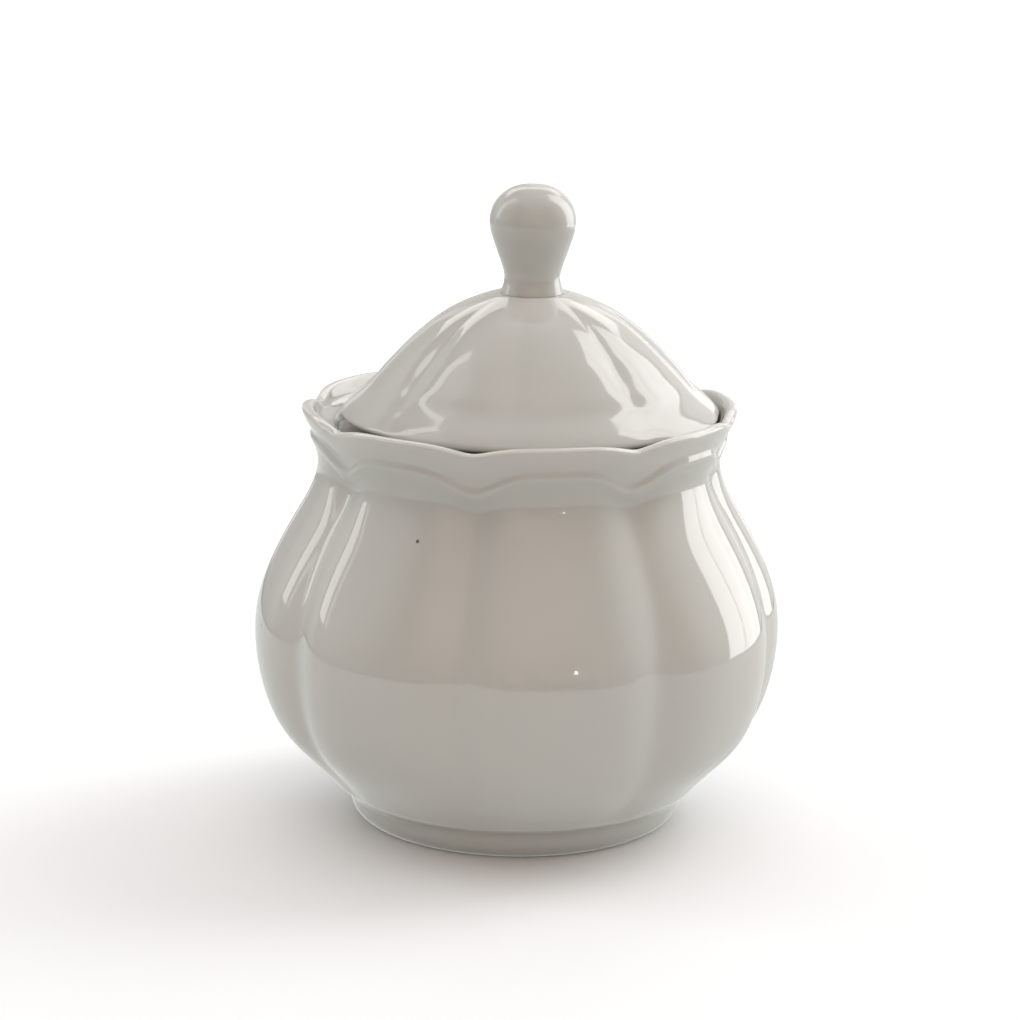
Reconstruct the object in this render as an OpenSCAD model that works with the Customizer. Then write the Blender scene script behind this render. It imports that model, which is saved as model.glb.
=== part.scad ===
// Lidded sugar bowl in glazed porcelain, with eight soft lobes.
//
// The bowl is one slip-cast piece: foot ring, lobed belly, moulded collar and
// flared lip that dips between the lobes. Inside the lip is a flat ledge.
// The lid is a second piece. It rests on the ledge with a flat ring, and a
// longer locating ring inside that one drops into the neck. Its knob is made
// apart and stuck on with slip, so it is a node of its own.
//
// Millimetres, +Z up. The origin is the middle of the foot, on the table.
// The lid lies a little to one side, as far as its play in the neck allows.

/* [Bowl] */
// Diameter over two opposite lobes of the belly
belly_d = 104; // [100:0.4:110]
// Diameter over the lip at the middle of two opposite lobes
rim_d = 85; // [84.6:0.2:87]
// Diameter of the waist under the moulded collar
waist_d = 78.8; // [78:0.2:80]
// Diameter of the foot ring
foot_d = 66; // [60:0.5:70]
// Height of the lip at the middle of a lobe
lip_h = 82.7; // [81:0.1:87]
// Wall thickness of the belly
wall = 3.4; // [2.6:0.1:4.2]
// How far the lip dips between two lobes
lip_wave = 1.5; // [0.5:0.1:1.8]
// How far the raised band under the lip dips between two lobes
band_wave = 3.9; // [1:0.1:4.2]

/* [Lobes] */
// Depth of the valleys on the belly, as a share of the radius
belly_lobe = 0.045; // [0.01:0.005:0.06]
// Depth of the valleys on the collar and lip, as a share of the radius
rim_lobe = 0.02; // [0.01:0.005:0.04]
// Depth of the valleys on the lid's dome, as a share of the radius
lid_lobe = 0.045; // [0:0.005:0.06]
// Turn of the bowl's lobes about the upright axis
lobe_turn = -12.5; // [-22:0.5:22]
// Turn of the lid's lobes, as it was put down
lid_turn = -6; // [-22:0.5:22]

/* [Lid] */
// Diameter of the lid over its rounded edge
lid_d = 74.6; // [73:0.2:74.6]
// Height of the dome above the lid's edge
dome_h = 22.2; // [17:0.2:28]
// Wall thickness of the dome
lid_wall = 3; // [2.4:0.1:3.6]
// Distance of the lid's axis from the bowl's axis as it lies
lid_shift = 2.1; // [0:0.1:2.1]
// Outside diameter of the locating ring in the neck
locating_d = 51; // [47:0.5:51]
// Depth of the locating ring below the ledge
locating_h = 5; // [3:0.5:8]

/* [Knob] */
// Diameter of the knob at its widest
knob_d = 17; // [14:0.5:20]
// Height of the knob above the crown of the lid
knob_h = 21; // [17:0.5:25]
// Diameter of the knob's neck
knob_neck_d = 11; // [9:0.5:12]

/* [Hidden] */
lobes = 8;
// Facets round the lobed pieces, a multiple of twice the number of lobes
round_steps = 64;
// Facets per span of an outer outline
fine = 2;
// Segments of the knob
$fn = 64;

belly_r = belly_d / 2;
rim_r = rim_d / 2;
waist_r = waist_d / 2;
foot_r = foot_d / 2;
foot_h = 5.4;
waist_h = lip_h - 10.5;
ledge_h = lip_h - 5.7;
ledge_out_r = 35.2;
neck_r = 28;
floor_h = 8.4;

lid_r = lid_d / 2;
lid_edge_h = lip_h - 2.7;
crown_h = lid_edge_h + 2.3 + dome_h;
crown_r = 6.4;
locating_r = locating_d / 2;
rest_r = 32.4;
locating_wall = 2.8;

knob_r = knob_d / 2;
knob_neck_r = knob_neck_d / 2;
porcelain = [0.9, 0.9, 0.88];

// How soft the valleys are: 1 is a wide valley, near 0 is a sharp crease
soft_belly = 0.17;
soft_rim = 0.2;
soft_band = 0.6;
soft_lid = 0.17;

// Value between a and b at share t
function mix(a, b, t) = a + (b - a) * t;

// Height at share t between the foot ring and the waist
function lower(t) = mix(foot_h, waist_h, t);

// Height at share t between the lid's edge and its crown
function dome(t) = mix(lid_edge_h, crown_h, t);

// One point of a uniform cubic B-spline through the rows p
function spline_at(p, i, t) =
    (pow(1 - t, 3) * p[i]
    + (3 * pow(t, 3) - 6 * pow(t, 2) + 4) * p[i + 1]
    + (-3 * pow(t, 3) + 3 * pow(t, 2) + 3 * t + 1) * p[i + 2]
    + pow(t, 3) * p[i + 3]) / 6;

// The rows with one more at each end, so that the spline starts and ends on them
function padded(p) =
    concat([2 * p[0] - p[1]], p, [2 * p[len(p) - 1] - p[len(p) - 2]]);

// Spline through the rows with n points in each span, without the last point
function spline(p, n) =
    let (q = padded(p))
    [for (i = [0 : len(q) - 4]) for (k = [0 : n - 1]) spline_at(q, i, k / n)];

// 1 in a valley, at angle 0, and 0 at the middle of a lobe.
// The square makes the valleys narrower than the lobes between them.
function valley(angle, soft) =
    let (s = sin(lobes / 2 * angle))
    let (wave = 1 - (sqrt(s * s + soft * soft) - soft) / (sqrt(1 + soft * soft) - soft))
    wave * wave;

// A row holds radius, height, depth of the valley, dip in the valley, softness
function ring_point(row, angle, turn) =
    let (v = valley(angle, row[4]), r = row[0] * (1 - row[2] * v))
    [r * sin(angle + turn), -r * cos(angle + turn), row[1] - row[3] * v];

// Closed lobed shell: the first and last rows lie on the axis
module lobed_shell(rows, turn) {
    n = round_steps;
    m = len(rows) - 2;
    points = concat(
        [[0, 0, rows[0][1]]],
        [for (i = [1 : m]) for (k = [0 : n - 1]) ring_point(rows[i], k * 360 / n, turn)],
        [[0, 0, rows[m + 1][1]]]);
    top = m * n + 1;
    first_cap = [for (k = [0 : n - 1]) [0, 1 + k, 1 + (k + 1) % n]];
    last_cap = [for (k = [0 : n - 1]) [top, top - n + (k + 1) % n, top - n + k]];
    walls = [for (i = [0 : m - 2]) for (k = [0 : n - 1])
        let (a = 1 + i * n + k, b = 1 + i * n + (k + 1) % n)
        each [[a, a + n, b], [b, a + n, b + n]]];
    polyhedron(points, concat(first_cap, walls, last_cap));
}

// Under the bowl, from the middle to the flat face of the foot ring
bowl_underside = [
    [0, 3.6, 0, 0, soft_belly],
    [foot_r - 18, 3.6, 0, 0, soft_belly],
    [foot_r - 9.6, 3.4, 0, 0, soft_belly],
    [foot_r - 7.6, 2.6, 0, 0, soft_belly],
    [foot_r - 6.6, 0.8, 0, 0, soft_belly],
    [foot_r - 6, 0, 0, 0, soft_belly],
    [foot_r - 5.2, 0, 0, 0, soft_belly],
    [foot_r - 4.4, 0, 0, 0, soft_belly]];

// Outside of the bowl, from the foot ring up over the belly to the waist
bowl_belly = [
    [foot_r - 4.4, 0, 0, 0, soft_belly],
    [foot_r - 3.6, 0, 0, 0, soft_belly],
    [foot_r - 2.6, 0, 0, 0, soft_belly],
    [foot_r - 1.4, 0.5, 0, 0, soft_belly],
    [foot_r - 0.2, 2, 0, 0, soft_belly],
    [foot_r, 4, 0, 0, soft_belly],
    [foot_r + 0.4, foot_h, 0, 0, soft_belly],
    [mix(foot_r, belly_r, 0.17), foot_h + 1.6, belly_lobe * 0.2, 0, soft_belly],
    [mix(foot_r, belly_r, 0.27), lower(0.06), belly_lobe * 0.35, 0, soft_belly],
    [mix(foot_r, belly_r, 0.48), lower(0.12), belly_lobe * 0.5, 0, soft_belly],
    [mix(foot_r, belly_r, 0.765), lower(0.2), belly_lobe * 0.75, 0, soft_belly],
    [mix(foot_r, belly_r, 0.925), lower(0.31), belly_lobe * 0.9, 0, soft_belly],
    [belly_r, lower(0.43), belly_lobe, 0, soft_belly],
    [belly_r, lower(0.55), belly_lobe, 0, soft_belly],
    [mix(waist_r, belly_r, 0.8), lower(0.67), belly_lobe * 0.85, 0, soft_belly],
    [mix(waist_r, belly_r, 0.47), lower(0.79), belly_lobe * 0.75, 0, soft_belly],
    [mix(waist_r, belly_r, 0.17), lower(0.88), belly_lobe * 0.65, band_wave * 0.1, soft_belly],
    [waist_r + 0.2, waist_h - 3.2, belly_lobe * 0.7, band_wave * 0.35, soft_rim],
    [waist_r, waist_h, belly_lobe * 0.9, band_wave * 0.7, soft_band],
    [waist_r + 0.5, waist_h + 2, belly_lobe, band_wave * 0.9, soft_band]];

// Collar from the waist up: a raised band, a fine groove, the flare and the lip
bowl_collar = [
    [waist_r + 0.5, waist_h + 2, belly_lobe, band_wave * 0.9, soft_band],
    [waist_r + 1, waist_h + 3.4, belly_lobe, band_wave, soft_band],
    [waist_r + 1.6, waist_h + 4.3, belly_lobe, band_wave, soft_band],
    [waist_r + 1.6, waist_h + 5.1, belly_lobe, band_wave * 0.95, soft_band],
    [waist_r + 1.2, waist_h + 6, mix(rim_lobe, belly_lobe, 0.9), band_wave * 0.85, soft_band],
    [waist_r + 1.9, waist_h + 7, mix(rim_lobe, belly_lobe, 0.7), mix(lip_wave, band_wave, 0.6), soft_band],
    [waist_r + 2.5, waist_h + 8, mix(rim_lobe, belly_lobe, 0.4), mix(lip_wave, band_wave, 0.35), soft_rim],
    [rim_r - 0.2, lip_h - 1.5, rim_lobe, mix(lip_wave, band_wave, 0.1), soft_rim],
    [rim_r + 0.2, lip_h - 0.5, rim_lobe, lip_wave, soft_rim],
    [rim_r - 0.7, lip_h, rim_lobe, lip_wave, soft_rim],
    [rim_r - 1.4, lip_h, rim_lobe, lip_wave, soft_rim]];

// Inside of the bowl, from the lip down the seat round the lid's edge to the
// ledge, through the neck to the floor
bowl_inside = [
    [rim_r - 1.4, lip_h, rim_lobe, lip_wave, soft_rim],
    [rim_r - 2, lip_h - 0.15, rim_lobe, lip_wave, soft_rim],
    [rim_r - 2.5, lip_h - 0.9, rim_lobe * 0.8, lip_wave * 0.9, soft_rim],
    [rim_r - 2.8, lip_h - 1.8, rim_lobe * 0.5, lip_wave * 0.6, soft_rim],
    [rim_r - 3.6, lip_h - 2.8, rim_lobe * 0.3, lip_wave * 0.3, soft_rim],
    [rim_r - 5.2, lip_h - 3.5, rim_lobe * 0.1, lip_wave * 0.1, soft_rim],
    [ledge_out_r + 1, ledge_h + 1.6, 0, 0, soft_belly],
    [ledge_out_r + 0.4, ledge_h + 0.5, 0, 0, soft_belly],
    [ledge_out_r, ledge_h, 0, 0, soft_belly],
    [ledge_out_r - 0.8, ledge_h, 0, 0, soft_belly],
    [neck_r + 3.4, ledge_h, 0, 0, soft_belly],
    [neck_r + 0.7, ledge_h, 0, 0, soft_belly],
    [neck_r + 0.2, ledge_h, 0, 0, soft_belly],
    [neck_r - 0.1, ledge_h - 1, 0, 0, soft_belly],
    [neck_r, ledge_h - 3.4, 0, 0, soft_belly],
    [neck_r + 3, waist_h - 3, 0, 0, soft_belly],
    [waist_r - wall + 1, lower(0.84), belly_lobe * 0.6, 0, soft_belly],
    [mix(waist_r, belly_r, 0.7) - wall, lower(0.7), belly_lobe * 0.8, 0, soft_belly],
    [belly_r - wall - 0.2, lower(0.56), belly_lobe, 0, soft_belly],
    [belly_r - wall - 0.1, lower(0.42), belly_lobe, 0, soft_belly],
    [mix(foot_r, belly_r, 0.86) - wall, lower(0.28), belly_lobe * 0.7, 0, soft_belly],
    [mix(foot_r, belly_r, 0.54) - wall, lower(0.17), belly_lobe * 0.3, 0, soft_belly],
    [foot_r - 1.4, floor_h + 1.6, 0, 0, soft_belly],
    [foot_r - 9, floor_h, 0, 0, soft_belly],
    [foot_r - 19, floor_h, 0, 0, soft_belly],
    [0, floor_h, 0, 0, soft_belly]];

// Outside of the lid, from under its edge up the dome to the flat crown
lid_outside = [
    [lid_r - 3.4, lid_edge_h, lid_lobe * 0.1, 0, soft_lid],
    [lid_r - 2.2, lid_edge_h, lid_lobe * 0.15, 0, soft_lid],
    [lid_r - 1, lid_edge_h + 0.3, lid_lobe * 0.2, 0, soft_lid],
    [lid_r, lid_edge_h + 1.2, lid_lobe * 0.2, 0, soft_lid],
    [lid_r - 1, lid_edge_h + 2.3, lid_lobe * 0.2, 0, soft_lid],
    [lid_r - 2.2, lid_edge_h + 3.5, lid_lobe * 0.2, 0, soft_lid],
    [lid_r - 3.8, dome(0.195), lid_lobe * 0.25, 0, soft_lid],
    [lid_r - 5.9, dome(0.27), lid_lobe * 0.35, 0, soft_lid],
    [mix(crown_r, lid_r, 0.762), dome(0.355), lid_lobe * 0.5, 0, soft_lid],
    [mix(crown_r, lid_r, 0.684), dome(0.46), lid_lobe * 0.75, 0, soft_lid],
    [mix(crown_r, lid_r, 0.59), dome(0.59), lid_lobe, 0, soft_lid],
    [mix(crown_r, lid_r, 0.475), dome(0.715), lid_lobe, 0, soft_lid],
    [mix(crown_r, lid_r, 0.362), dome(0.825), lid_lobe * 0.9, 0, soft_lid],
    [mix(crown_r, lid_r, 0.226), dome(0.915), lid_lobe * 0.8, 0, soft_lid],
    [crown_r + 3.4, crown_h - 0.7, lid_lobe * 0.4, 0, soft_lid],
    [crown_r + 1.2, crown_h, 0, 0, soft_lid],
    [crown_r + 0.6, crown_h, 0, 0, soft_lid],
    [crown_r, crown_h, 0, 0, soft_lid]];

// Inside of the lid, from the top of the hollow down to the locating ring,
// round its end, up to the flat resting ring and out under the edge
lid_inside = [
    [0, crown_h - lid_wall, 0, 0, soft_lid],
    [crown_r + 0.6, crown_h - lid_wall, 0, 0, soft_lid],
    [mix(crown_r, lid_r, 0.3), dome(0.8) - lid_wall, lid_lobe * 0.4, 0, soft_lid],
    [mix(crown_r, lid_r, 0.48), dome(0.58) - lid_wall, lid_lobe * 0.4, 0, soft_lid],
    [locating_r - locating_wall - 0.4, lid_edge_h + 3, 0, 0, soft_lid],
    [locating_r - locating_wall, ledge_h + 1, 0, 0, soft_lid],
    [locating_r - locating_wall, ledge_h - locating_h + 2, 0, 0, soft_lid],
    [locating_r - locating_wall + 0.2, ledge_h - locating_h + 0.2, 0, 0, soft_lid],
    [locating_r - locating_wall / 2, ledge_h - locating_h, 0, 0, soft_lid],
    [locating_r - 0.2, ledge_h - locating_h + 0.2, 0, 0, soft_lid],
    [locating_r, ledge_h - locating_h + 2, 0, 0, soft_lid],
    [locating_r, ledge_h - 0.8, 0, 0, soft_lid],
    [locating_r + 0.3, ledge_h, 0, 0, soft_lid],
    [locating_r + 0.8, ledge_h, 0, 0, soft_lid],
    [locating_r + 1.8, ledge_h, 0, 0, soft_lid],
    [rest_r - 1.2, ledge_h, 0, 0, soft_lid],
    [rest_r - 0.4, ledge_h, 0, 0, soft_lid],
    [rest_r, ledge_h, 0, 0, soft_lid],
    [rest_r + 0.4, ledge_h + 0.5, 0, 0, soft_lid],
    [rest_r + 0.4, ledge_h + 1.6, 0, 0, soft_lid],
    [lid_r - 4.2, lid_edge_h - 0.3, lid_lobe * 0.05, 0, soft_lid],
    [lid_r - 3.4, lid_edge_h, lid_lobe * 0.1, 0, soft_lid]];

// Knob, from the rim of its flat base up to the top
knob_side = [
    [knob_neck_r + 0.7, 0],
    [knob_neck_r + 0.35, 0.8],
    [knob_neck_r - 0.15, 2.5],
    [knob_neck_r, knob_h * 0.21],
    [mix(knob_neck_r, knob_r, 0.32), knob_h * 0.33],
    [mix(knob_neck_r, knob_r, 0.63), knob_h * 0.46],
    [knob_r + 0.1, knob_h * 0.62],
    [knob_r - 0.3, knob_h * 0.78],
    [knob_r * 0.77, knob_h * 0.9],
    [knob_r * 0.48, knob_h * 0.98],
    [knob_r * 0.22, knob_h],
    [0, knob_h]];

// Slip-cast bowl with its foot ring, collar, lip and ledge
module bowl() {
    color(porcelain)
        lobed_shell(concat(
            spline(bowl_underside, 1),
            spline(bowl_belly, fine),
            spline(bowl_collar, fine),
            spline(bowl_inside, 1),
            [bowl_inside[len(bowl_inside) - 1]]), lobe_turn);
}

// Lid with its resting ring and locating ring
module lid() {
    color(porcelain)
        translate([lid_shift, 0, 0])
        lobed_shell(concat(
            spline(lid_inside, 1),
            spline(lid_outside, fine),
            [lid_outside[len(lid_outside) - 1]],
            [[0, crown_h, 0, 0, soft_lid]]), lid_turn);
}

// Bulb-shaped knob, stuck on the crown of the lid
module lid_knob() {
    color(porcelain)
        translate([lid_shift, 0, crown_h])
        rotate_extrude()
        polygon(concat([[0, 0]], spline(knob_side, 3), [[0, knob_h]]));
}

bowl();
lid();
lid_knob();
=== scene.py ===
"""Lidded porcelain sugar bowl on a pale floor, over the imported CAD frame.

The lobed pieces repeat the outlines of part.scad with many more facets.
Outlines are in millimetres, like part.scad; Blender works in metres.
"""
import math

import bpy
import numpy as np
from mathutils import Matrix, Vector


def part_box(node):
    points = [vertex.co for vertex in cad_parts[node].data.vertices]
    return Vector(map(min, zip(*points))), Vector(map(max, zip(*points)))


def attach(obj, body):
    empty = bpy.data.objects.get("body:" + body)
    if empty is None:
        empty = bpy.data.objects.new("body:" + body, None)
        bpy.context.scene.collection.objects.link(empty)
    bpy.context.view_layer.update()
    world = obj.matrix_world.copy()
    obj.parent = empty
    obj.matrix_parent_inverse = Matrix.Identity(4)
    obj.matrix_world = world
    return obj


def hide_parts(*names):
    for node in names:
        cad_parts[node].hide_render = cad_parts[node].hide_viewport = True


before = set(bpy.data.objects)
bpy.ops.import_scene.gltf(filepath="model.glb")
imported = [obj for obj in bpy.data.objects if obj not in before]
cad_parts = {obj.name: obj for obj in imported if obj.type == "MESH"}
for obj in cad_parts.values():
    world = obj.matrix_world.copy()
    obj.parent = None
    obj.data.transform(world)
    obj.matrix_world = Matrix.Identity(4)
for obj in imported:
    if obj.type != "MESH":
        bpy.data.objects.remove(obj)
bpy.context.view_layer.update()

MM = 0.001

# ---------------------------------------------------------------- dimensions
# The same driving dimensions as part.scad, in millimetres
BELLY_R = 52.0
RIM_R = 42.5
WAIST_R = 39.4
FOOT_R = 33.0
WALL = 3.4
LIP_WAVE = 1.5
BAND_WAVE = 3.9
BELLY_LOBE = 0.045
RIM_LOBE = 0.02
LID_LOBE = 0.045
LOBES = 8
LOBE_TURN = math.radians(-12.5)
LID_TURN = math.radians(-6)
FOOT_H = 5.4
LID_R = 37.3
LID_WALL = 3.0
CROWN_R = 6.4
LOCATING_R = 25.5
LOCATING_WALL = 2.8
LOCATING_H = 5.0
REST_R = 32.4
LEDGE_OUT_R = 35.2
NECK_R = 28.0
FLOOR_H = 8.4
KNOB_R = 8.5
KNOB_NECK_R = 5.5

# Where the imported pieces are
bowl_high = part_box("bowl")[1]
knob_low, knob_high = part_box("lid_knob")
LIP_H = bowl_high.z / MM
WAIST_H = LIP_H - 10.5
LEDGE_H = LIP_H - 5.7
LID_EDGE_H = LIP_H - 2.7
LID_X = (knob_low.x + knob_high.x) / 2 / MM
CROWN_H = knob_low.z / MM
KNOB_H = (knob_high.z - knob_low.z) / MM

# Facets round a lobed piece, a multiple of the lobes
ROUND = 320

# How soft the valleys are: 1 is a wide valley, near 0 is a sharp crease
SOFT_BELLY = 0.17
SOFT_RIM = 0.2
SOFT_BAND = 0.6
SOFT_LID = 0.17
# Keeps the smooth pieces just inside the faceted CAD pieces' box
SHRINK = 0.9987


def mix(a, b, t):
    """Value between a and b at share t."""
    return a + (b - a) * t


# ------------------------------------------------------------------ outlines
# A row holds radius, height, depth of the valley, dip in the valley, softness
def row(radius, height, depth=0.0, dip=0.0, soft=SOFT_BELLY):
    """One row of an outline."""
    return (radius, height, depth, dip, soft)


def lower(t):
    """Height at share t between the foot ring and the waist."""
    return mix(FOOT_H, WAIST_H, t)


def lobe(t):
    """Depth of the valley at share t between the rim's and the belly's."""
    return mix(RIM_LOBE, BELLY_LOBE, t)


def wave(t):
    """Dip in the valley at share t between the lip's and the band's."""
    return mix(LIP_WAVE, BAND_WAVE, t)


def dome(t):
    """Height at share t between the lid's edge and its crown."""
    return mix(LID_EDGE_H, CROWN_H, t)


BOWL_UNDERSIDE = [
    row(0, 3.6),
    row(FOOT_R - 18, 3.6),
    row(FOOT_R - 9.6, 3.4),
    row(FOOT_R - 7.6, 2.6),
    row(FOOT_R - 6.6, 0.8),
    row(FOOT_R - 6, 0),
    row(FOOT_R - 5.2, 0),
    row(FOOT_R - 4.4, 0),
]
BOWL_BELLY = [
    row(FOOT_R - 4.4, 0),
    row(FOOT_R - 3.6, 0),
    row(FOOT_R - 2.6, 0),
    row(FOOT_R - 1.4, 0.5),
    row(FOOT_R - 0.2, 2),
    row(FOOT_R, 4),
    row(FOOT_R + 0.4, FOOT_H),
    row(mix(FOOT_R, BELLY_R, 0.17), FOOT_H + 1.6, BELLY_LOBE * 0.2),
    row(mix(FOOT_R, BELLY_R, 0.27), lower(0.06), BELLY_LOBE * 0.35),
    row(mix(FOOT_R, BELLY_R, 0.48), lower(0.12), BELLY_LOBE * 0.5),
    row(mix(FOOT_R, BELLY_R, 0.765), lower(0.2), BELLY_LOBE * 0.75),
    row(mix(FOOT_R, BELLY_R, 0.925), lower(0.31), BELLY_LOBE * 0.9),
    row(BELLY_R, lower(0.43), BELLY_LOBE),
    row(BELLY_R, lower(0.55), BELLY_LOBE),
    row(mix(WAIST_R, BELLY_R, 0.8), lower(0.67), BELLY_LOBE * 0.85),
    row(mix(WAIST_R, BELLY_R, 0.47), lower(0.79), BELLY_LOBE * 0.75),
    row(mix(WAIST_R, BELLY_R, 0.17), lower(0.88), BELLY_LOBE * 0.65, BAND_WAVE * 0.1),
    row(WAIST_R + 0.2, WAIST_H - 3.2, BELLY_LOBE * 0.7, BAND_WAVE * 0.35, SOFT_RIM),
    row(WAIST_R, WAIST_H, BELLY_LOBE * 0.9, BAND_WAVE * 0.7, SOFT_BAND),
    row(WAIST_R + 0.5, WAIST_H + 2, BELLY_LOBE, BAND_WAVE * 0.9, SOFT_BAND),
]
BOWL_COLLAR = [
    row(WAIST_R + 0.5, WAIST_H + 2, BELLY_LOBE, BAND_WAVE * 0.9, SOFT_BAND),
    row(WAIST_R + 1, WAIST_H + 3.4, BELLY_LOBE, BAND_WAVE, SOFT_BAND),
    row(WAIST_R + 1.6, WAIST_H + 4.3, BELLY_LOBE, BAND_WAVE, SOFT_BAND),
    row(WAIST_R + 1.6, WAIST_H + 5.1, BELLY_LOBE, BAND_WAVE * 0.95, SOFT_BAND),
    row(WAIST_R + 1.2, WAIST_H + 6, lobe(0.9), BAND_WAVE * 0.85, SOFT_BAND),
    row(WAIST_R + 1.9, WAIST_H + 7, lobe(0.7), wave(0.6), SOFT_BAND),
    row(WAIST_R + 2.5, WAIST_H + 8, lobe(0.4), wave(0.35), SOFT_RIM),
    row(RIM_R - 0.2, LIP_H - 1.5, RIM_LOBE, wave(0.1), SOFT_RIM),
    row(RIM_R + 0.2, LIP_H - 0.5, RIM_LOBE, LIP_WAVE, SOFT_RIM),
    row(RIM_R - 0.7, LIP_H, RIM_LOBE, LIP_WAVE, SOFT_RIM),
    row(RIM_R - 1.4, LIP_H, RIM_LOBE, LIP_WAVE, SOFT_RIM),
]
BOWL_INSIDE = [
    row(RIM_R - 1.4, LIP_H, RIM_LOBE, LIP_WAVE, SOFT_RIM),
    row(RIM_R - 2, LIP_H - 0.15, RIM_LOBE, LIP_WAVE, SOFT_RIM),
    row(RIM_R - 2.5, LIP_H - 0.9, RIM_LOBE * 0.8, LIP_WAVE * 0.9, SOFT_RIM),
    row(RIM_R - 2.8, LIP_H - 1.8, RIM_LOBE * 0.5, LIP_WAVE * 0.6, SOFT_RIM),
    row(RIM_R - 3.6, LIP_H - 2.8, RIM_LOBE * 0.3, LIP_WAVE * 0.3, SOFT_RIM),
    row(RIM_R - 5.2, LIP_H - 3.5, RIM_LOBE * 0.1, LIP_WAVE * 0.1, SOFT_RIM),
    row(LEDGE_OUT_R + 1, LEDGE_H + 1.6),
    row(LEDGE_OUT_R + 0.4, LEDGE_H + 0.5),
    row(LEDGE_OUT_R, LEDGE_H),
    row(LEDGE_OUT_R - 0.8, LEDGE_H),
    row(NECK_R + 3.4, LEDGE_H),
    row(NECK_R + 0.7, LEDGE_H),
    row(NECK_R + 0.2, LEDGE_H),
    row(NECK_R - 0.1, LEDGE_H - 1),
    row(NECK_R, LEDGE_H - 3.4),
    row(NECK_R + 3, WAIST_H - 3),
    row(WAIST_R - WALL + 1, lower(0.84), BELLY_LOBE * 0.6),
    row(mix(WAIST_R, BELLY_R, 0.7) - WALL, lower(0.7), BELLY_LOBE * 0.8),
    row(BELLY_R - WALL - 0.2, lower(0.56), BELLY_LOBE),
    row(BELLY_R - WALL - 0.1, lower(0.42), BELLY_LOBE),
    row(mix(FOOT_R, BELLY_R, 0.86) - WALL, lower(0.28), BELLY_LOBE * 0.7),
    row(mix(FOOT_R, BELLY_R, 0.54) - WALL, lower(0.17), BELLY_LOBE * 0.3),
    row(FOOT_R - 1.4, FLOOR_H + 1.6),
    row(FOOT_R - 9, FLOOR_H),
    row(FOOT_R - 19, FLOOR_H),
    row(0, FLOOR_H),
]
LID_OUTSIDE = [
    row(LID_R - 3.4, LID_EDGE_H, LID_LOBE * 0.1, 0, SOFT_LID),
    row(LID_R - 2.2, LID_EDGE_H, LID_LOBE * 0.15, 0, SOFT_LID),
    row(LID_R - 1, LID_EDGE_H + 0.3, LID_LOBE * 0.2, 0, SOFT_LID),
    row(LID_R, LID_EDGE_H + 1.2, LID_LOBE * 0.2, 0, SOFT_LID),
    row(LID_R - 1, LID_EDGE_H + 2.3, LID_LOBE * 0.2, 0, SOFT_LID),
    row(LID_R - 2.2, LID_EDGE_H + 3.5, LID_LOBE * 0.2, 0, SOFT_LID),
    row(LID_R - 3.8, dome(0.195), LID_LOBE * 0.25, 0, SOFT_LID),
    row(LID_R - 5.9, dome(0.27), LID_LOBE * 0.35, 0, SOFT_LID),
    row(mix(CROWN_R, LID_R, 0.762), dome(0.355), LID_LOBE * 0.5, 0, SOFT_LID),
    row(mix(CROWN_R, LID_R, 0.684), dome(0.46), LID_LOBE * 0.75, 0, SOFT_LID),
    row(mix(CROWN_R, LID_R, 0.59), dome(0.59), LID_LOBE, 0, SOFT_LID),
    row(mix(CROWN_R, LID_R, 0.475), dome(0.715), LID_LOBE, 0, SOFT_LID),
    row(mix(CROWN_R, LID_R, 0.362), dome(0.825), LID_LOBE * 0.9, 0, SOFT_LID),
    row(mix(CROWN_R, LID_R, 0.226), dome(0.915), LID_LOBE * 0.8, 0, SOFT_LID),
    row(CROWN_R + 3.4, CROWN_H - 0.7, LID_LOBE * 0.4, 0, SOFT_LID),
    row(CROWN_R + 1.2, CROWN_H, 0, 0, SOFT_LID),
    row(CROWN_R + 0.6, CROWN_H, 0, 0, SOFT_LID),
    row(CROWN_R, CROWN_H, 0, 0, SOFT_LID),
]
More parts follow.
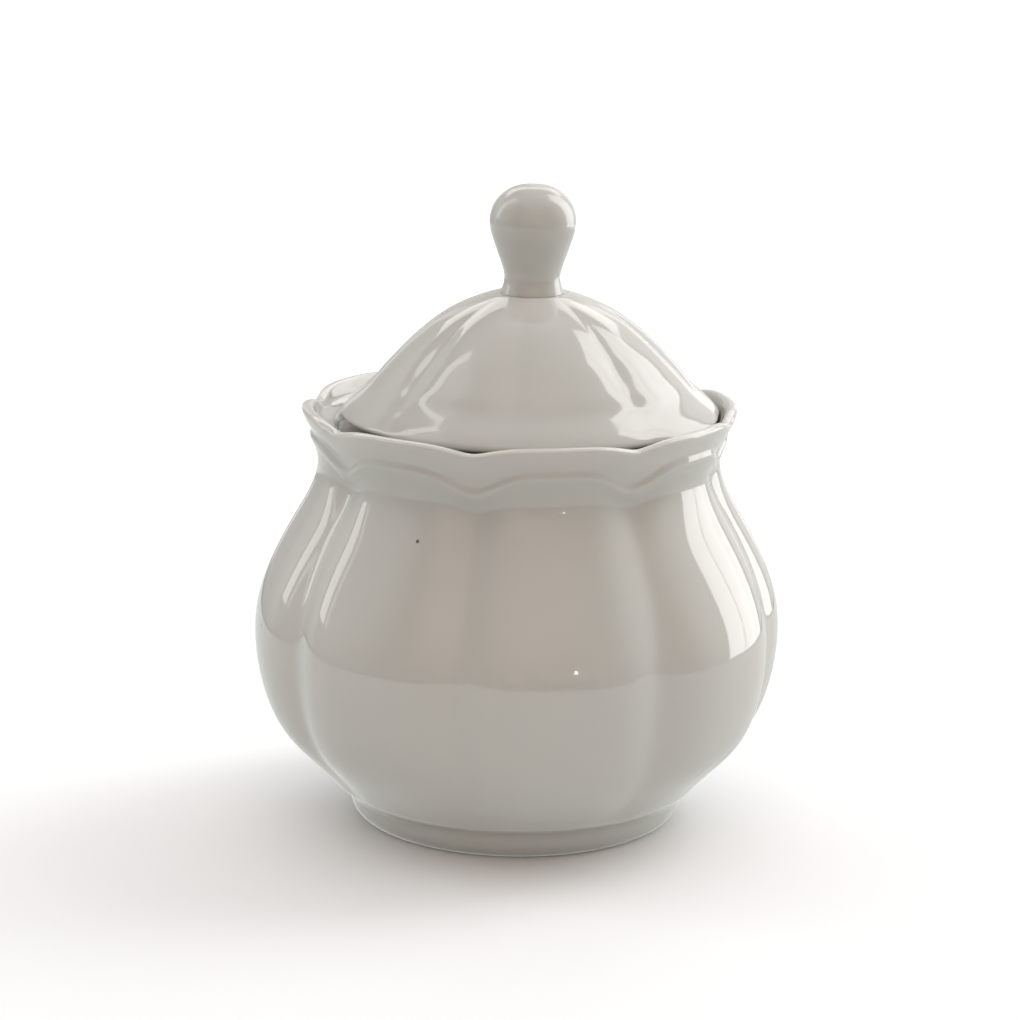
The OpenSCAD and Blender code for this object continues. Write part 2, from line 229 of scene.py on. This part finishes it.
LID_INSIDE = [
    row(0, CROWN_H - LID_WALL, 0, 0, SOFT_LID),
    row(CROWN_R + 0.6, CROWN_H - LID_WALL, 0, 0, SOFT_LID),
    row(mix(CROWN_R, LID_R, 0.3), dome(0.8) - LID_WALL, LID_LOBE * 0.4, 0, SOFT_LID),
    row(mix(CROWN_R, LID_R, 0.48), dome(0.58) - LID_WALL, LID_LOBE * 0.4, 0, SOFT_LID),
    row(LOCATING_R - LOCATING_WALL - 0.4, LID_EDGE_H + 3, 0, 0, SOFT_LID),
    row(LOCATING_R - LOCATING_WALL, LEDGE_H + 1, 0, 0, SOFT_LID),
    row(LOCATING_R - LOCATING_WALL, LEDGE_H - LOCATING_H + 2, 0, 0, SOFT_LID),
    row(LOCATING_R - LOCATING_WALL + 0.2, LEDGE_H - LOCATING_H + 0.2, 0, 0, SOFT_LID),
    row(LOCATING_R - LOCATING_WALL / 2, LEDGE_H - LOCATING_H, 0, 0, SOFT_LID),
    row(LOCATING_R - 0.2, LEDGE_H - LOCATING_H + 0.2, 0, 0, SOFT_LID),
    row(LOCATING_R, LEDGE_H - LOCATING_H + 2, 0, 0, SOFT_LID),
    row(LOCATING_R, LEDGE_H - 0.8, 0, 0, SOFT_LID),
    row(LOCATING_R + 0.3, LEDGE_H, 0, 0, SOFT_LID),
    row(LOCATING_R + 0.8, LEDGE_H, 0, 0, SOFT_LID),
    row(LOCATING_R + 1.8, LEDGE_H, 0, 0, SOFT_LID),
    row(REST_R - 1.2, LEDGE_H, 0, 0, SOFT_LID),
    row(REST_R - 0.4, LEDGE_H, 0, 0, SOFT_LID),
    row(REST_R, LEDGE_H, 0, 0, SOFT_LID),
    row(REST_R + 0.4, LEDGE_H + 0.5, 0, 0, SOFT_LID),
    row(REST_R + 0.4, LEDGE_H + 1.6, 0, 0, SOFT_LID),
    row(LID_R - 4.2, LID_EDGE_H - 0.3, LID_LOBE * 0.05, 0, SOFT_LID),
    row(LID_R - 3.4, LID_EDGE_H, LID_LOBE * 0.1, 0, SOFT_LID),
]
KNOB_SIDE = [
    row(KNOB_NECK_R + 0.7, 0),
    row(KNOB_NECK_R + 0.35, 0.8),
    row(KNOB_NECK_R - 0.15, 2.5),
    row(KNOB_NECK_R, KNOB_H * 0.21),
    row(mix(KNOB_NECK_R, KNOB_R, 0.32), KNOB_H * 0.33),
    row(mix(KNOB_NECK_R, KNOB_R, 0.63), KNOB_H * 0.46),
    row(KNOB_R + 0.1, KNOB_H * 0.62),
    row(KNOB_R - 0.3, KNOB_H * 0.78),
    row(KNOB_R * 0.77, KNOB_H * 0.9),
    row(KNOB_R * 0.48, KNOB_H * 0.98),
    row(KNOB_R * 0.22, KNOB_H),
    row(0, KNOB_H),
]


# -------------------------------------------------------------------- meshes
def spline(rows, n):
    """Uniform cubic B-spline through the rows, n points a span, with both end rows."""
    p = np.array(rows, float)
    q = np.vstack([2 * p[0] - p[1], p, 2 * p[-1] - p[-2]])
    t = np.arange(n)[:, None] / n
    weights = [(1 - t) ** 3, 3 * t**3 - 6 * t**2 + 4, -3 * t**3 + 3 * t**2 + 3 * t + 1, t**3]
    spans = [sum(w * q[i + k] for k, w in enumerate(weights)) / 6 for i in range(len(q) - 3)]
    return np.vstack(spans + [p[-1:]])


def chain(*parts):
    """Splines joined end to end into one outline. Each part is (rows, points a span)."""
    lines = [spline(rows, n) for rows, n in parts]
    return np.vstack([line[:-1] for line in lines[:-1]] + [lines[-1]])


def valley(angle, soft):
    """1 in a valley, at angle 0, and 0 at the middle of a lobe."""
    s = np.sin(LOBES / 2 * angle)
    share = 1 - (np.sqrt(s * s + soft * soft) - soft) / (np.sqrt(1 + soft * soft) - soft)
    return share * share


def lobed_mesh(name, outline, turn=0.0, centre_x=0.0, base_h=0.0):
    """Closed lobed shell about the upright axis at centre_x, in metres.

    Gives the shell and the outline's row at each vertex.
    """
    angle = np.arange(ROUND) * 2 * math.pi / ROUND
    rings = outline[1:-1]
    v = valley(angle[None, :], rings[:, 4:5])
    r = rings[:, 0:1] * (1 - rings[:, 2:3] * v) * SHRINK
    z = rings[:, 1:2] - rings[:, 3:4] * v + base_h
    x = r * np.sin(angle + turn) + centre_x
    y = -r * np.cos(angle + turn)
    verts = np.stack([x, y, z], -1).reshape(-1, 3)
    first = [centre_x, 0, outline[0, 1] + base_h]
    last = [centre_x, 0, outline[-1, 1] + base_h]
    verts = np.vstack([verts, [first, last]]) * MM
    top = len(verts) - 1
    pairs = [(k, (k + 1) % ROUND) for k in range(ROUND)]
    faces = [(top - 1, a, b) for a, b in pairs]
    for i in range(len(rings) - 1):
        low, high = i * ROUND, (i + 1) * ROUND
        faces += [(low + a, high + a, high + b, low + b) for a, b in pairs]
    end = (len(rings) - 1) * ROUND
    faces += [(top, end + b, end + a) for a, b in pairs]
    mesh = bpy.data.meshes.new(name)
    mesh.from_pydata(verts.tolist(), [], faces)
    mesh.validate()
    mesh.shade_smooth()
    piece = bpy.data.objects.new(name, mesh)
    bpy.context.collection.objects.link(piece)
    return piece, np.vstack([np.repeat(rings, ROUND, 0), outline[:1], outline[-1:]])


# ----------------------------------------------------------------- materials
def socket(node, name, value):
    """Sets the value of a node's input."""
    node.inputs[name].default_value = value


def link(tree, a, out, b, into):
    """Joins an output of node a to an input of node b."""
    tree.links.new(a.outputs[out], b.inputs[into])


def new_material(name):
    """An empty node material with its output and Principled shader."""
    material = bpy.data.materials.new(name)
    material.use_nodes = True
    tree = material.node_tree
    tree.nodes.clear()
    shader = tree.nodes.new("ShaderNodeBsdfPrincipled")
    output = tree.nodes.new("ShaderNodeOutputMaterial")
    link(tree, shader, "BSDF", output, "Surface")
    return material, tree, shader


def noise(tree, coords, size_mm, detail=2.0, roughness=0.5, offset=0.0):
    """Noise with features about size_mm across, in object space."""
    shift = tree.nodes.new("ShaderNodeVectorMath")
    shift.operation = "ADD"
    shift.inputs[1].default_value = (offset, offset * 0.7, -offset)
    link(tree, coords, "Object", shift, 0)
    node = tree.nodes.new("ShaderNodeTexNoise")
    socket(node, "Scale", 1 / (size_mm * MM))
    socket(node, "Detail", detail)
    socket(node, "Roughness", roughness)
    link(tree, shift, 0, node, "Vector")
    return node


def ramp(tree, source, out, stops):
    """Colour ramp from source: stops is [(position, colour), ...]."""
    node = tree.nodes.new("ShaderNodeValToRGB")
    node.color_ramp.elements[0].position = stops[0][0]
    node.color_ramp.elements[0].color = (*stops[0][1], 1)
    node.color_ramp.elements[1].position = stops[-1][0]
    node.color_ramp.elements[1].color = (*stops[-1][1], 1)
    for position, colour in stops[1:-1]:
        element = node.color_ramp.elements.new(position)
        element.color = (*colour, 1)
    link(tree, source, out, node, "Fac")
    return node


def tint(tree, factor, out, first, first_out, colour):
    """first where factor is 0 and colour where it is 1."""
    node = tree.nodes.new("ShaderNodeMix")
    node.data_type = "RGBA"
    link(tree, factor, out, node, 0)
    link(tree, first, first_out, node, 6)
    node.inputs[7].default_value = (*colour, 1)
    return node


# Colours of the glaze: its two tones, pooled and with painted shade, thin on an edge and as a
# painted highlight, a speck, and the seam's painted shade
GLAZE_WARM = (0.495, 0.490, 0.456)
GLAZE_COOL = (0.486, 0.489, 0.460)
GLAZE_THICK_AND_SHADE = (0.375, 0.390, 0.360)
GLAZE_THIN_AND_HIGHLIGHT = (0.560, 0.550, 0.520)
SPECK = (0.16, 0.10, 0.07)
SEAM_PAINTED_SHADE = (0.14, 0.13, 0.12)
# Colours of the unglazed body and of the floor, from and to
BARE = (0.56, 0.55, 0.51), (0.47, 0.45, 0.41)
FLOOR = (0.87, 0.88, 0.89), (0.88, 0.89, 0.90)
# Sizes of the patterns, in millimetres
CLOUD = 38
SPECK_SPACING = 17
SWELL, SWELL_DEPTH = 11, 0.2
PEEL, PEEL_DEPTH = 1.3, 0.02
DULL_PATCH = 6
GRAIN, GRAIN_DEPTH = 0.35, 0.08
STAIN = 5
FLOOR_CLOUD = 900
# The speck that shows on the front of the belly
PIT_PLACE = (-18.8, -37.3, 64.0)
PIT_R = 0.45
PIT_CORE = 0.6
# Roughness from smooth to dull patches: highlights are softer on the lid and softest on the knob
BOWL_GLOSS = 0.04, 0.08
LID_GLOSS = 0.07, 0.11
KNOB_GLOSS = 0.13, 0.20
BARE_ROUGH = (0.62, 0.62, 0.62), (0.85, 0.85, 0.85)
FLOOR_ROUGH = 0.7
FLOOR_SPECULAR = 0.2
GLAZE_IOR = 1.6
# Light that spreads under the glaze, and how far, in millimetres
SPREAD_SHARE = 0.12
SPREAD_DEPTH = 1.2
BLACK, WHITE = (0, 0, 0), (1, 1, 1)


def bump(tree, height, strength, depth):
    """A bump node over the height of a noise; depth is in millimetres."""
    node = tree.nodes.new("ShaderNodeBump")
    socket(node, "Strength", strength)
    socket(node, "Distance", depth * MM)
    link(tree, height, "Fac", node, "Height")
    return node


def glaze_material(name, roughness):
    """Clear glossy glaze over off-white porcelain: uneven, deep in the hollows and shallow on
    edges; darker with painted shade in the hollows and in the gap under the lid, lighter with a
    painted highlight on the lid's crown.
    """
    material, tree, shader = new_material(name)
    coords = tree.nodes.new("ShaderNodeTexCoord")
    clouds = noise(tree, coords, CLOUD, 3, 0.55)
    body = ramp(tree, clouds, "Fac", [(0.35, GLAZE_WARM), (0.65, GLAZE_COOL)])
    # The glaze's depth also carries painted shade, which darkens it, and a painted highlight,
    # which lightens it
    depth = tree.nodes.new("ShaderNodeAttribute")
    depth.attribute_name = "glaze_depth_and_painted_light"
    darker_glaze = ramp(tree, depth, "Fac", [(0.5, BLACK), (1.0, WHITE)])
    lighter_glaze = ramp(tree, depth, "Fac", [(0.0, WHITE), (0.5, BLACK)])
    pooled_and_shaded = tint(tree, darker_glaze, "Color", body, "Color", GLAZE_THICK_AND_SHADE)
    thin_and_highlit = tint(tree, lighter_glaze, "Color", pooled_and_shaded, 2, GLAZE_THIN_AND_HIGHLIGHT)
    # A few iron specks under the glaze
    cells = tree.nodes.new("ShaderNodeTexVoronoi")
    cells.feature = "F1"
    socket(cells, "Scale", 1 / (SPECK_SPACING * MM))
    link(tree, coords, "Object", cells, "Vector")
    speck = ramp(tree, cells, "Distance", [(0.012, WHITE), (0.024, BLACK)])
    specked = tint(tree, speck, "Color", thin_and_highlit, 2, SPECK)
    # The one that shows on the front
    to_pit = tree.nodes.new("ShaderNodeVectorMath")
    to_pit.operation = "DISTANCE"
    to_pit.inputs[1].default_value = [c * MM for c in PIT_PLACE]
    link(tree, coords, "Object", to_pit, 0)
    pit = tree.nodes.new("ShaderNodeMapRange")
    socket(pit, "From Min", PIT_R * MM)
    socket(pit, "From Max", PIT_R * MM * PIT_CORE)
    link(tree, to_pit, "Value", pit, "Value")
    pitted = tint(tree, pit, "Result", specked, 2, SPECK)
    # Painted shade: a dark colour in the gap between the lip and the lid
    painted_seam_shade = tree.nodes.new("ShaderNodeAttribute")
    painted_seam_shade.attribute_name = "painted_seam_shade"
    seam_shaded = tint(tree, painted_seam_shade, "Fac", pitted, 2, SEAM_PAINTED_SHADE)
    link(tree, seam_shaded, 2, shader, "Base Color")
    # Slow swell of the glaze and a faint orange peel
    swell = bump(tree, noise(tree, coords, SWELL, 1.5, 0.45, 0.3), 0.1, SWELL_DEPTH)
    peel = bump(tree, noise(tree, coords, PEEL, 2, 0.5, 0.6), 0.08, PEEL_DEPTH)
    link(tree, swell, "Normal", peel, "Normal")
    link(tree, peel, "Normal", shader, "Normal")
    patches = noise(tree, coords, DULL_PATCH, 3, 0.6, 0.9)
    gloss = tree.nodes.new("ShaderNodeMapRange")
    socket(gloss, "To Min", roughness[0])
    socket(gloss, "To Max", roughness[1])
    link(tree, patches, "Fac", gloss, "Value")
    link(tree, gloss, "Result", shader, "Roughness")
    socket(shader, "IOR", GLAZE_IOR)
    socket(shader, "Subsurface Weight", SPREAD_SHARE)
    socket(shader, "Subsurface Radius", (1.2, 1.0, 0.8))
    socket(shader, "Subsurface Scale", SPREAD_DEPTH * MM)
    return material


def bare_material():
    """Unglazed porcelain on the faces that the piece was fired on."""
    material, tree, shader = new_material("bare_porcelain")
    coords = tree.nodes.new("ShaderNodeTexCoord")
    grain = noise(tree, coords, GRAIN, 4, 0.7)
    stain = noise(tree, coords, STAIN, 3, 0.6, 0.4)
    body = ramp(tree, stain, "Fac", [(0.35, BARE[0]), (0.7, BARE[1])])
    link(tree, body, "Color", shader, "Base Color")
    link(tree, bump(tree, grain, 0.5, GRAIN_DEPTH), "Normal", shader, "Normal")
    rough = ramp(tree, grain, "Fac", [(0.3, BARE_ROUGH[0]), (0.7, BARE_ROUGH[1])])
    link(tree, rough, "Color", shader, "Roughness")
    return material


def floor_material():
    """Plain pale floor."""
    material, tree, shader = new_material("pale_floor")
    coords = tree.nodes.new("ShaderNodeTexCoord")
    cloud = noise(tree, coords, FLOOR_CLOUD, 2, 0.5)
    body = ramp(tree, cloud, "Fac", [(0.3, FLOOR[0]), (0.7, FLOOR[1])])
    link(tree, body, "Color", shader, "Base Color")
    socket(shader, "Roughness", FLOOR_ROUGH)
    socket(shader, "Specular IOR Level", FLOOR_SPECULAR)
    return material


bowl_glaze = glaze_material("glazed_porcelain", BOWL_GLOSS)
lid_glaze = glaze_material("glazed_porcelain_lid", LID_GLOSS)
knob_glaze = glaze_material("glazed_porcelain_worn", KNOB_GLOSS)
bare = bare_material()


# -------------------------------------------------------------------- pieces
def paint(piece, name, values):
    """Stores a value from 0 to 1 at each vertex, for the glaze."""
    attribute = piece.data.attributes.new(name, "FLOAT", "POINT")
    attribute.data.foreach_set("value", np.clip(values, 0, 1).astype(np.float32))


def between(h, low, high, fade=0.5):
    """1 from low to high, fading out just below low and just below high."""
    return np.clip((h - low + fade) / fade, 0, 1) * np.clip((high - h) / fade, 0, 1)


def bump_at(h, centre, width):
    """1 at height centre, fading over width."""
    return np.exp(-(((h - centre) / width) ** 2))


bowl_outline = chain((BOWL_UNDERSIDE, 2), (BOWL_BELLY, 6), (BOWL_COLLAR, 6), (BOWL_INSIDE, 3))
bowl, bowl_rows = lobed_mesh("bowl_glazed", bowl_outline, LOBE_TURN)
lid_outline = np.vstack([chain((LID_INSIDE, 3), (LID_OUTSIDE, 7)), [row(0, CROWN_H)]])
lid, lid_rows = lobed_mesh("lid_glazed", lid_outline, LID_TURN, LID_X)
knob_outline = np.vstack([[row(0, 0)], spline(KNOB_SIDE, 8)])
knob_outline[-1, 0] = 0
knob, knob_rows = lobed_mesh("knob_glazed", knob_outline, 0.0, LID_X, CROWN_H)

# How thick the glaze lies: 0 thin, 0.5 plain, 1 pooled; painted shade raises it and a painted
# highlight lowers it
PLAIN = 0.5
bowl_r, bowl_h = bowl_rows[:, 0], bowl_rows[:, 1]
lid_r, lid_h = lid_rows[:, 0], lid_rows[:, 1]
knob_h = knob_rows[:, 1]
# Pooled glaze and painted shade: darker in the neck's hollow, on the foot ring's shoulder and low
# on the foot
pool_and_shade = (
    0.25 * bump_at(bowl_h, WAIST_H + 1, 5)
    + 0.3 * bump_at(bowl_h, FOOT_H, 1.0)
    + 0.3 * bump_at(bowl_h, 1, 3)
)
# Thin on the lip's edge; on the lid's crown the lighter glaze is a painted highlight
lighter_glaze = 0.45 * bump_at(bowl_h, LIP_H, 0.5)
paint(bowl, "glaze_depth_and_painted_light", PLAIN + pool_and_shade - lighter_glaze)
paint(lid, "glaze_depth_and_painted_light", PLAIN - 0.45 * bump_at(lid_h, CROWN_H, 3.5))
paint(knob, "glaze_depth_and_painted_light", PLAIN + 0.2 * bump_at(knob_h, KNOB_H / 2, 8))
# Painted shade in the gap under the lid's edge, as the lid lies
SEAM_SHADE_FADE = 0.7
bowl_points = np.array([v.co for v in bowl.data.vertices]) / MM
from_lid = np.hypot(bowl_points[:, 0] - LID_X, bowl_points[:, 1])
under_lid = np.clip((LID_R + SEAM_SHADE_FADE - from_lid) / SEAM_SHADE_FADE, 0, 1)
in_seam_shade = under_lid * (bowl_r > NECK_R) * (bowl_r < RIM_R - 2.4)
paint(bowl, "painted_seam_shade", in_seam_shade * between(bowl_h, LEDGE_H - 0.5, LIP_H - 2))
paint(lid, "painted_seam_shade", (lid_r > REST_R - 1.5) * between(lid_h, LEDGE_H, LID_EDGE_H + 0.9))
paint(knob, "painted_seam_shade", np.zeros(len(knob_h)))

bowl.data.materials.append(bowl_glaze)
lid.data.materials.append(lid_glaze)
knob.data.materials.append(knob_glaze)
bowl.data.materials.append(bare)
lid.data.materials.append(bare)


def bare_faces(piece, height, low_r, high_r):
    """Gives the flat faces at that height between two radii the bare material."""
    centre_x = LID_X * MM if piece is lid else 0
    for face in piece.data.polygons:
        c = face.center
        r = math.hypot(c.x - centre_x, c.y) / MM
        if abs(c.z / MM - height) < 0.05 and low_r < r < high_r and abs(face.normal.z) > 0.9:
            face.material_index = 1


bare_faces(bowl, 0, FOOT_R - 6.5, FOOT_R - 2.2)
bare_faces(bowl, LEDGE_H, NECK_R + 1.2, LEDGE_OUT_R - 0.4)
bare_faces(lid, LEDGE_H, LOCATING_R + 1, REST_R - 0.2)

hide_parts("bowl")
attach(bowl, "bowl")
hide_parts("lid")
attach(lid, "lid")
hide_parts("lid_knob")
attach(knob, "lid")

# --------------------------------------------------------------------- stage
FLOOR_R = 4.5
FLOOR_SIDES = 96
floor_angle = np.arange(FLOOR_SIDES) * 2 * math.pi / FLOOR_SIDES
floor_mesh = bpy.data.meshes.new("floor")
floor_mesh.from_pydata(
    [(FLOOR_R * math.cos(a), FLOOR_R * math.sin(a), 0) for a in floor_angle],
    [],
    [tuple(range(FLOOR_SIDES))],
)
floor_mesh.materials.append(floor_material())
floor = bpy.data.objects.new("floor", floor_mesh)
bpy.context.collection.objects.link(floor)
# The glaze mirrors the table and room that the world gives, not the floor
floor.visible_glossy = False


def lamp_object(name, size, radiance):
    """A rectangular lamp of that size in metres and that radiance."""
    lamp = bpy.data.lights.new(name, "AREA")
    lamp.shape = "RECTANGLE"
    lamp.size, lamp.size_y = size
    lamp.energy = radiance * math.pi * lamp.size * lamp.size_y
    thing = bpy.data.objects.new(name, lamp)
    bpy.context.collection.objects.link(thing)
    return thing


def window(name, azimuths, heights, radiance, away=1.5):
    """An upright lamp facing the bowl's axis, between two azimuths and two heights.

    Azimuth 0 is the viewer's side and 90 the viewer's right, in degrees.
    """
    middle = math.radians(sum(azimuths) / 2)
    half = math.radians((azimuths[1] - azimuths[0]) / 2)
    size = 2 * away * math.tan(half), heights[1] - heights[0]
    thing = lamp_object(name, size, radiance)
    side = Vector((math.sin(middle), -math.cos(middle), 0))
    thing.location = side * away + Vector((0, 0, sum(heights) / 2))
    thing.rotation_euler = side.to_track_quat("Z", "Y").to_euler()


# Heights of the windows' sills, of a low sill and of their tops, and the back wall's distance
SILL = -0.2
HIGH_SILL = 0.17
WINDOW_TOP = 2.6
BACK_AWAY = 3.6

window("window_right_front", (101, 113.7), (SILL, WINDOW_TOP), 3.9)
window("window_right_middle", (114.3, 127), (SILL, WINDOW_TOP), 3.5)
window("window_right_back", (127, 138), (SILL, WINDOW_TOP), 2.8)
window("wall_right_back", (141, 165), (SILL, 1.3), 0.8)
window("window_left", (-114.5, -104.5), (HIGH_SILL, WINDOW_TOP), 2.4)
window("window_left_front", (-101.5, -98.5), (HIGH_SILL, WINDOW_TOP), 1.1)
window("wall_left_back", (-165, -117), (SILL, 1.2), 0.4)
window("wall_left_front", (-98, -80), (1.3, WINDOW_TOP), 0.5)
window("wall_behind_right", (160, 180), (-0.5, 1.8), 0.7, away=BACK_AWAY)
window("wall_behind_left", (180, 200), (-0.5, 1.8), 0.45, away=BACK_AWAY)
# A small bright lamp behind the viewer, two short dashes on the belly
window("small_lamp", (24.1, 24.9), (0.095, 0.155), 30.0)
# Lights the floor behind the bowl
lamp_object("over_floor", (3.6, 1.8), 2.0).location = (0, 2.7, 2.0)


def glow(tree, azimuth, elevation, spread, value):
    """A smooth patch of the room, brightest in one direction, as a shader value."""
    coords = tree.nodes.new("ShaderNodeTexCoord")
    dot = tree.nodes.new("ShaderNodeVectorMath")
    dot.operation = "DOT_PRODUCT"
    a, e = math.radians(azimuth), math.radians(elevation)
    dot.inputs[1].default_value = (
        math.sin(a) * math.cos(e), -math.cos(a) * math.cos(e), math.sin(e)
    )
    link(tree, coords, "Generated", dot, 0)
    shape = tree.nodes.new("ShaderNodeMapRange")
    shape.interpolation_type = "SMOOTHSTEP"
    socket(shape, "From Min", math.cos(math.radians(spread)))
    socket(shape, "From Max", 1.0)
    socket(shape, "To Max", value)
    link(tree, dot, "Value", shape, "Value")
    return shape


def plus(tree, first, second):
    """The sum of two colours."""
    node = tree.nodes.new("ShaderNodeVectorMath")
    node.operation = "ADD"
    link(tree, first, 0, node, 0)
    link(tree, second, 0, node, 1)
    return node


world = bpy.data.worlds.new("studio")
bpy.context.scene.world = world
world.use_nodes = True
tree = world.node_tree
background = tree.nodes["Background"]
# The room: dark and warm behind the viewer, brighter high up and at both sides.
# Azimuth, elevation and half width in degrees, then strength and colour
GLOWS = [
    (0, 42, 40, 0.50, (1.0, 0.78, 0.67)),
    (-100, 25, 50, 0.75, (1.0, 1.0, 1.0)),
    (100, 25, 50, 0.70, (1.0, 1.0, 1.0)),
    (0, 90, 50, 1.15, (0.99, 1.0, 1.0)),
    (180, 30, 50, 0.13, (1.0, 0.9, 0.8)),
]
ROOM = (0.05, 0.045, 0.04)
# The table from its edge down to the bowl's shadow, by how steeply it is looked at
TABLE = [
    (0.17, (0.90, 0.92, 0.89)),
    (0.60, (0.74, 0.77, 0.74)),
    (0.85, (0.60, 0.62, 0.59)),
    (1.00, (0.52, 0.54, 0.51)),
]
TABLE_EDGE = math.radians(10)
# Things of the room behind the viewer, and the wall above them
THINGS = (0.08, 0.03, 0.01)
WALL_BEHIND = (0.60, 0.46, 0.38)
THINGS_SCALE = 7.0
THINGS_RISE = 1.1
total = tree.nodes.new("ShaderNodeRGB")
total.outputs[0].default_value = (*ROOM, 1)
for azimuth, elevation, spread, value, colour in GLOWS:
    patch = glow(tree, azimuth, elevation, spread, value)
    lit = tree.nodes.new("ShaderNodeVectorMath")
    lit.operation = "SCALE"
    lit.inputs[0].default_value = colour
    link(tree, patch, "Result", lit, "Scale")
    total = plus(tree, total, lit)
low_glow = glow(tree, 5, 2, 65, 1.0)
things = tree.nodes.new("ShaderNodeTexNoise")
socket(things, "Scale", THINGS_SCALE)
socket(things, "Detail", 3.0)
coords = tree.nodes.new("ShaderNodeTexCoord")
link(tree, coords, "Generated", things, "Vector")
split = tree.nodes.new("ShaderNodeSeparateXYZ")
link(tree, coords, "Generated", split, 0)
above = tree.nodes.new("ShaderNodeMath")
above.operation = "MULTIPLY_ADD"
above.inputs[1].default_value = THINGS_RISE
link(tree, split, "Z", above, 0)
link(tree, things, "Fac", above, 2)
wall = ramp(tree, above, 0, [(0.45, THINGS), (0.50, WALL_BEHIND)])
seen = tree.nodes.new("ShaderNodeVectorMath")
seen.operation = "SCALE"
link(tree, wall, "Color", seen, 0)
link(tree, low_glow, "Result", seen, "Scale")
final = plus(tree, total, seen)
# Below its edge the table hides the room
down = tree.nodes.new("ShaderNodeMath")
down.operation = "MULTIPLY"
down.inputs[1].default_value = -1
link(tree, split, "Z", down, 0)
table = ramp(tree, down, 0, TABLE)
on_table = tree.nodes.new("ShaderNodeMath")
on_table.operation = "GREATER_THAN"
on_table.inputs[1].default_value = math.sin(TABLE_EDGE)
link(tree, down, 0, on_table, 0)
around = tree.nodes.new("ShaderNodeMix")
around.data_type = "RGBA"
link(tree, on_table, 0, around, 0)
link(tree, final, 0, around, 6)
link(tree, table, "Color", around, 7)
link(tree, around, 2, background, "Color")
socket(background, "Strength", 1.0)

# -------------------------------------------------------------------- camera
# Metres from the bowl's axis and the floor, angles, and the lens in millimetres
CAMERA_AWAY = 0.640
CAMERA_HEIGHT = 0.217
CAMERA_ASIDE = -0.0017
CAMERA_PITCH = math.radians(13.69)
CAMERA_ROLL = math.radians(0.65)
LENS = 118.3
SENSOR = 36
NEAREST = 0.05
FURTHEST = 50

lens = bpy.data.cameras.new("camera")
lens.sensor_width = SENSOR
lens.lens = LENS
lens.clip_start = NEAREST
lens.clip_end = FURTHEST
camera = bpy.data.objects.new("camera", lens)
forward = Vector((0, math.cos(CAMERA_PITCH), -math.sin(CAMERA_PITCH)))
level_up = Vector((0, math.sin(CAMERA_PITCH), math.cos(CAMERA_PITCH)))
level_right = Vector((1, 0, 0))
right = math.cos(CAMERA_ROLL) * level_right + math.sin(CAMERA_ROLL) * level_up
up = -math.sin(CAMERA_ROLL) * level_right + math.cos(CAMERA_ROLL) * level_up
camera.matrix_world = Matrix(
    (
        (right.x, up.x, -forward.x, CAMERA_ASIDE),
        (right.y, up.y, -forward.y, -CAMERA_AWAY),
        (right.z, up.z, -forward.z, CAMERA_HEIGHT),
        (0, 0, 0, 1),
    )
)
bpy.context.collection.objects.link(camera)
bpy.context.scene.camera = camera
bpy.context.scene.view_settings.view_transform = "Standard"
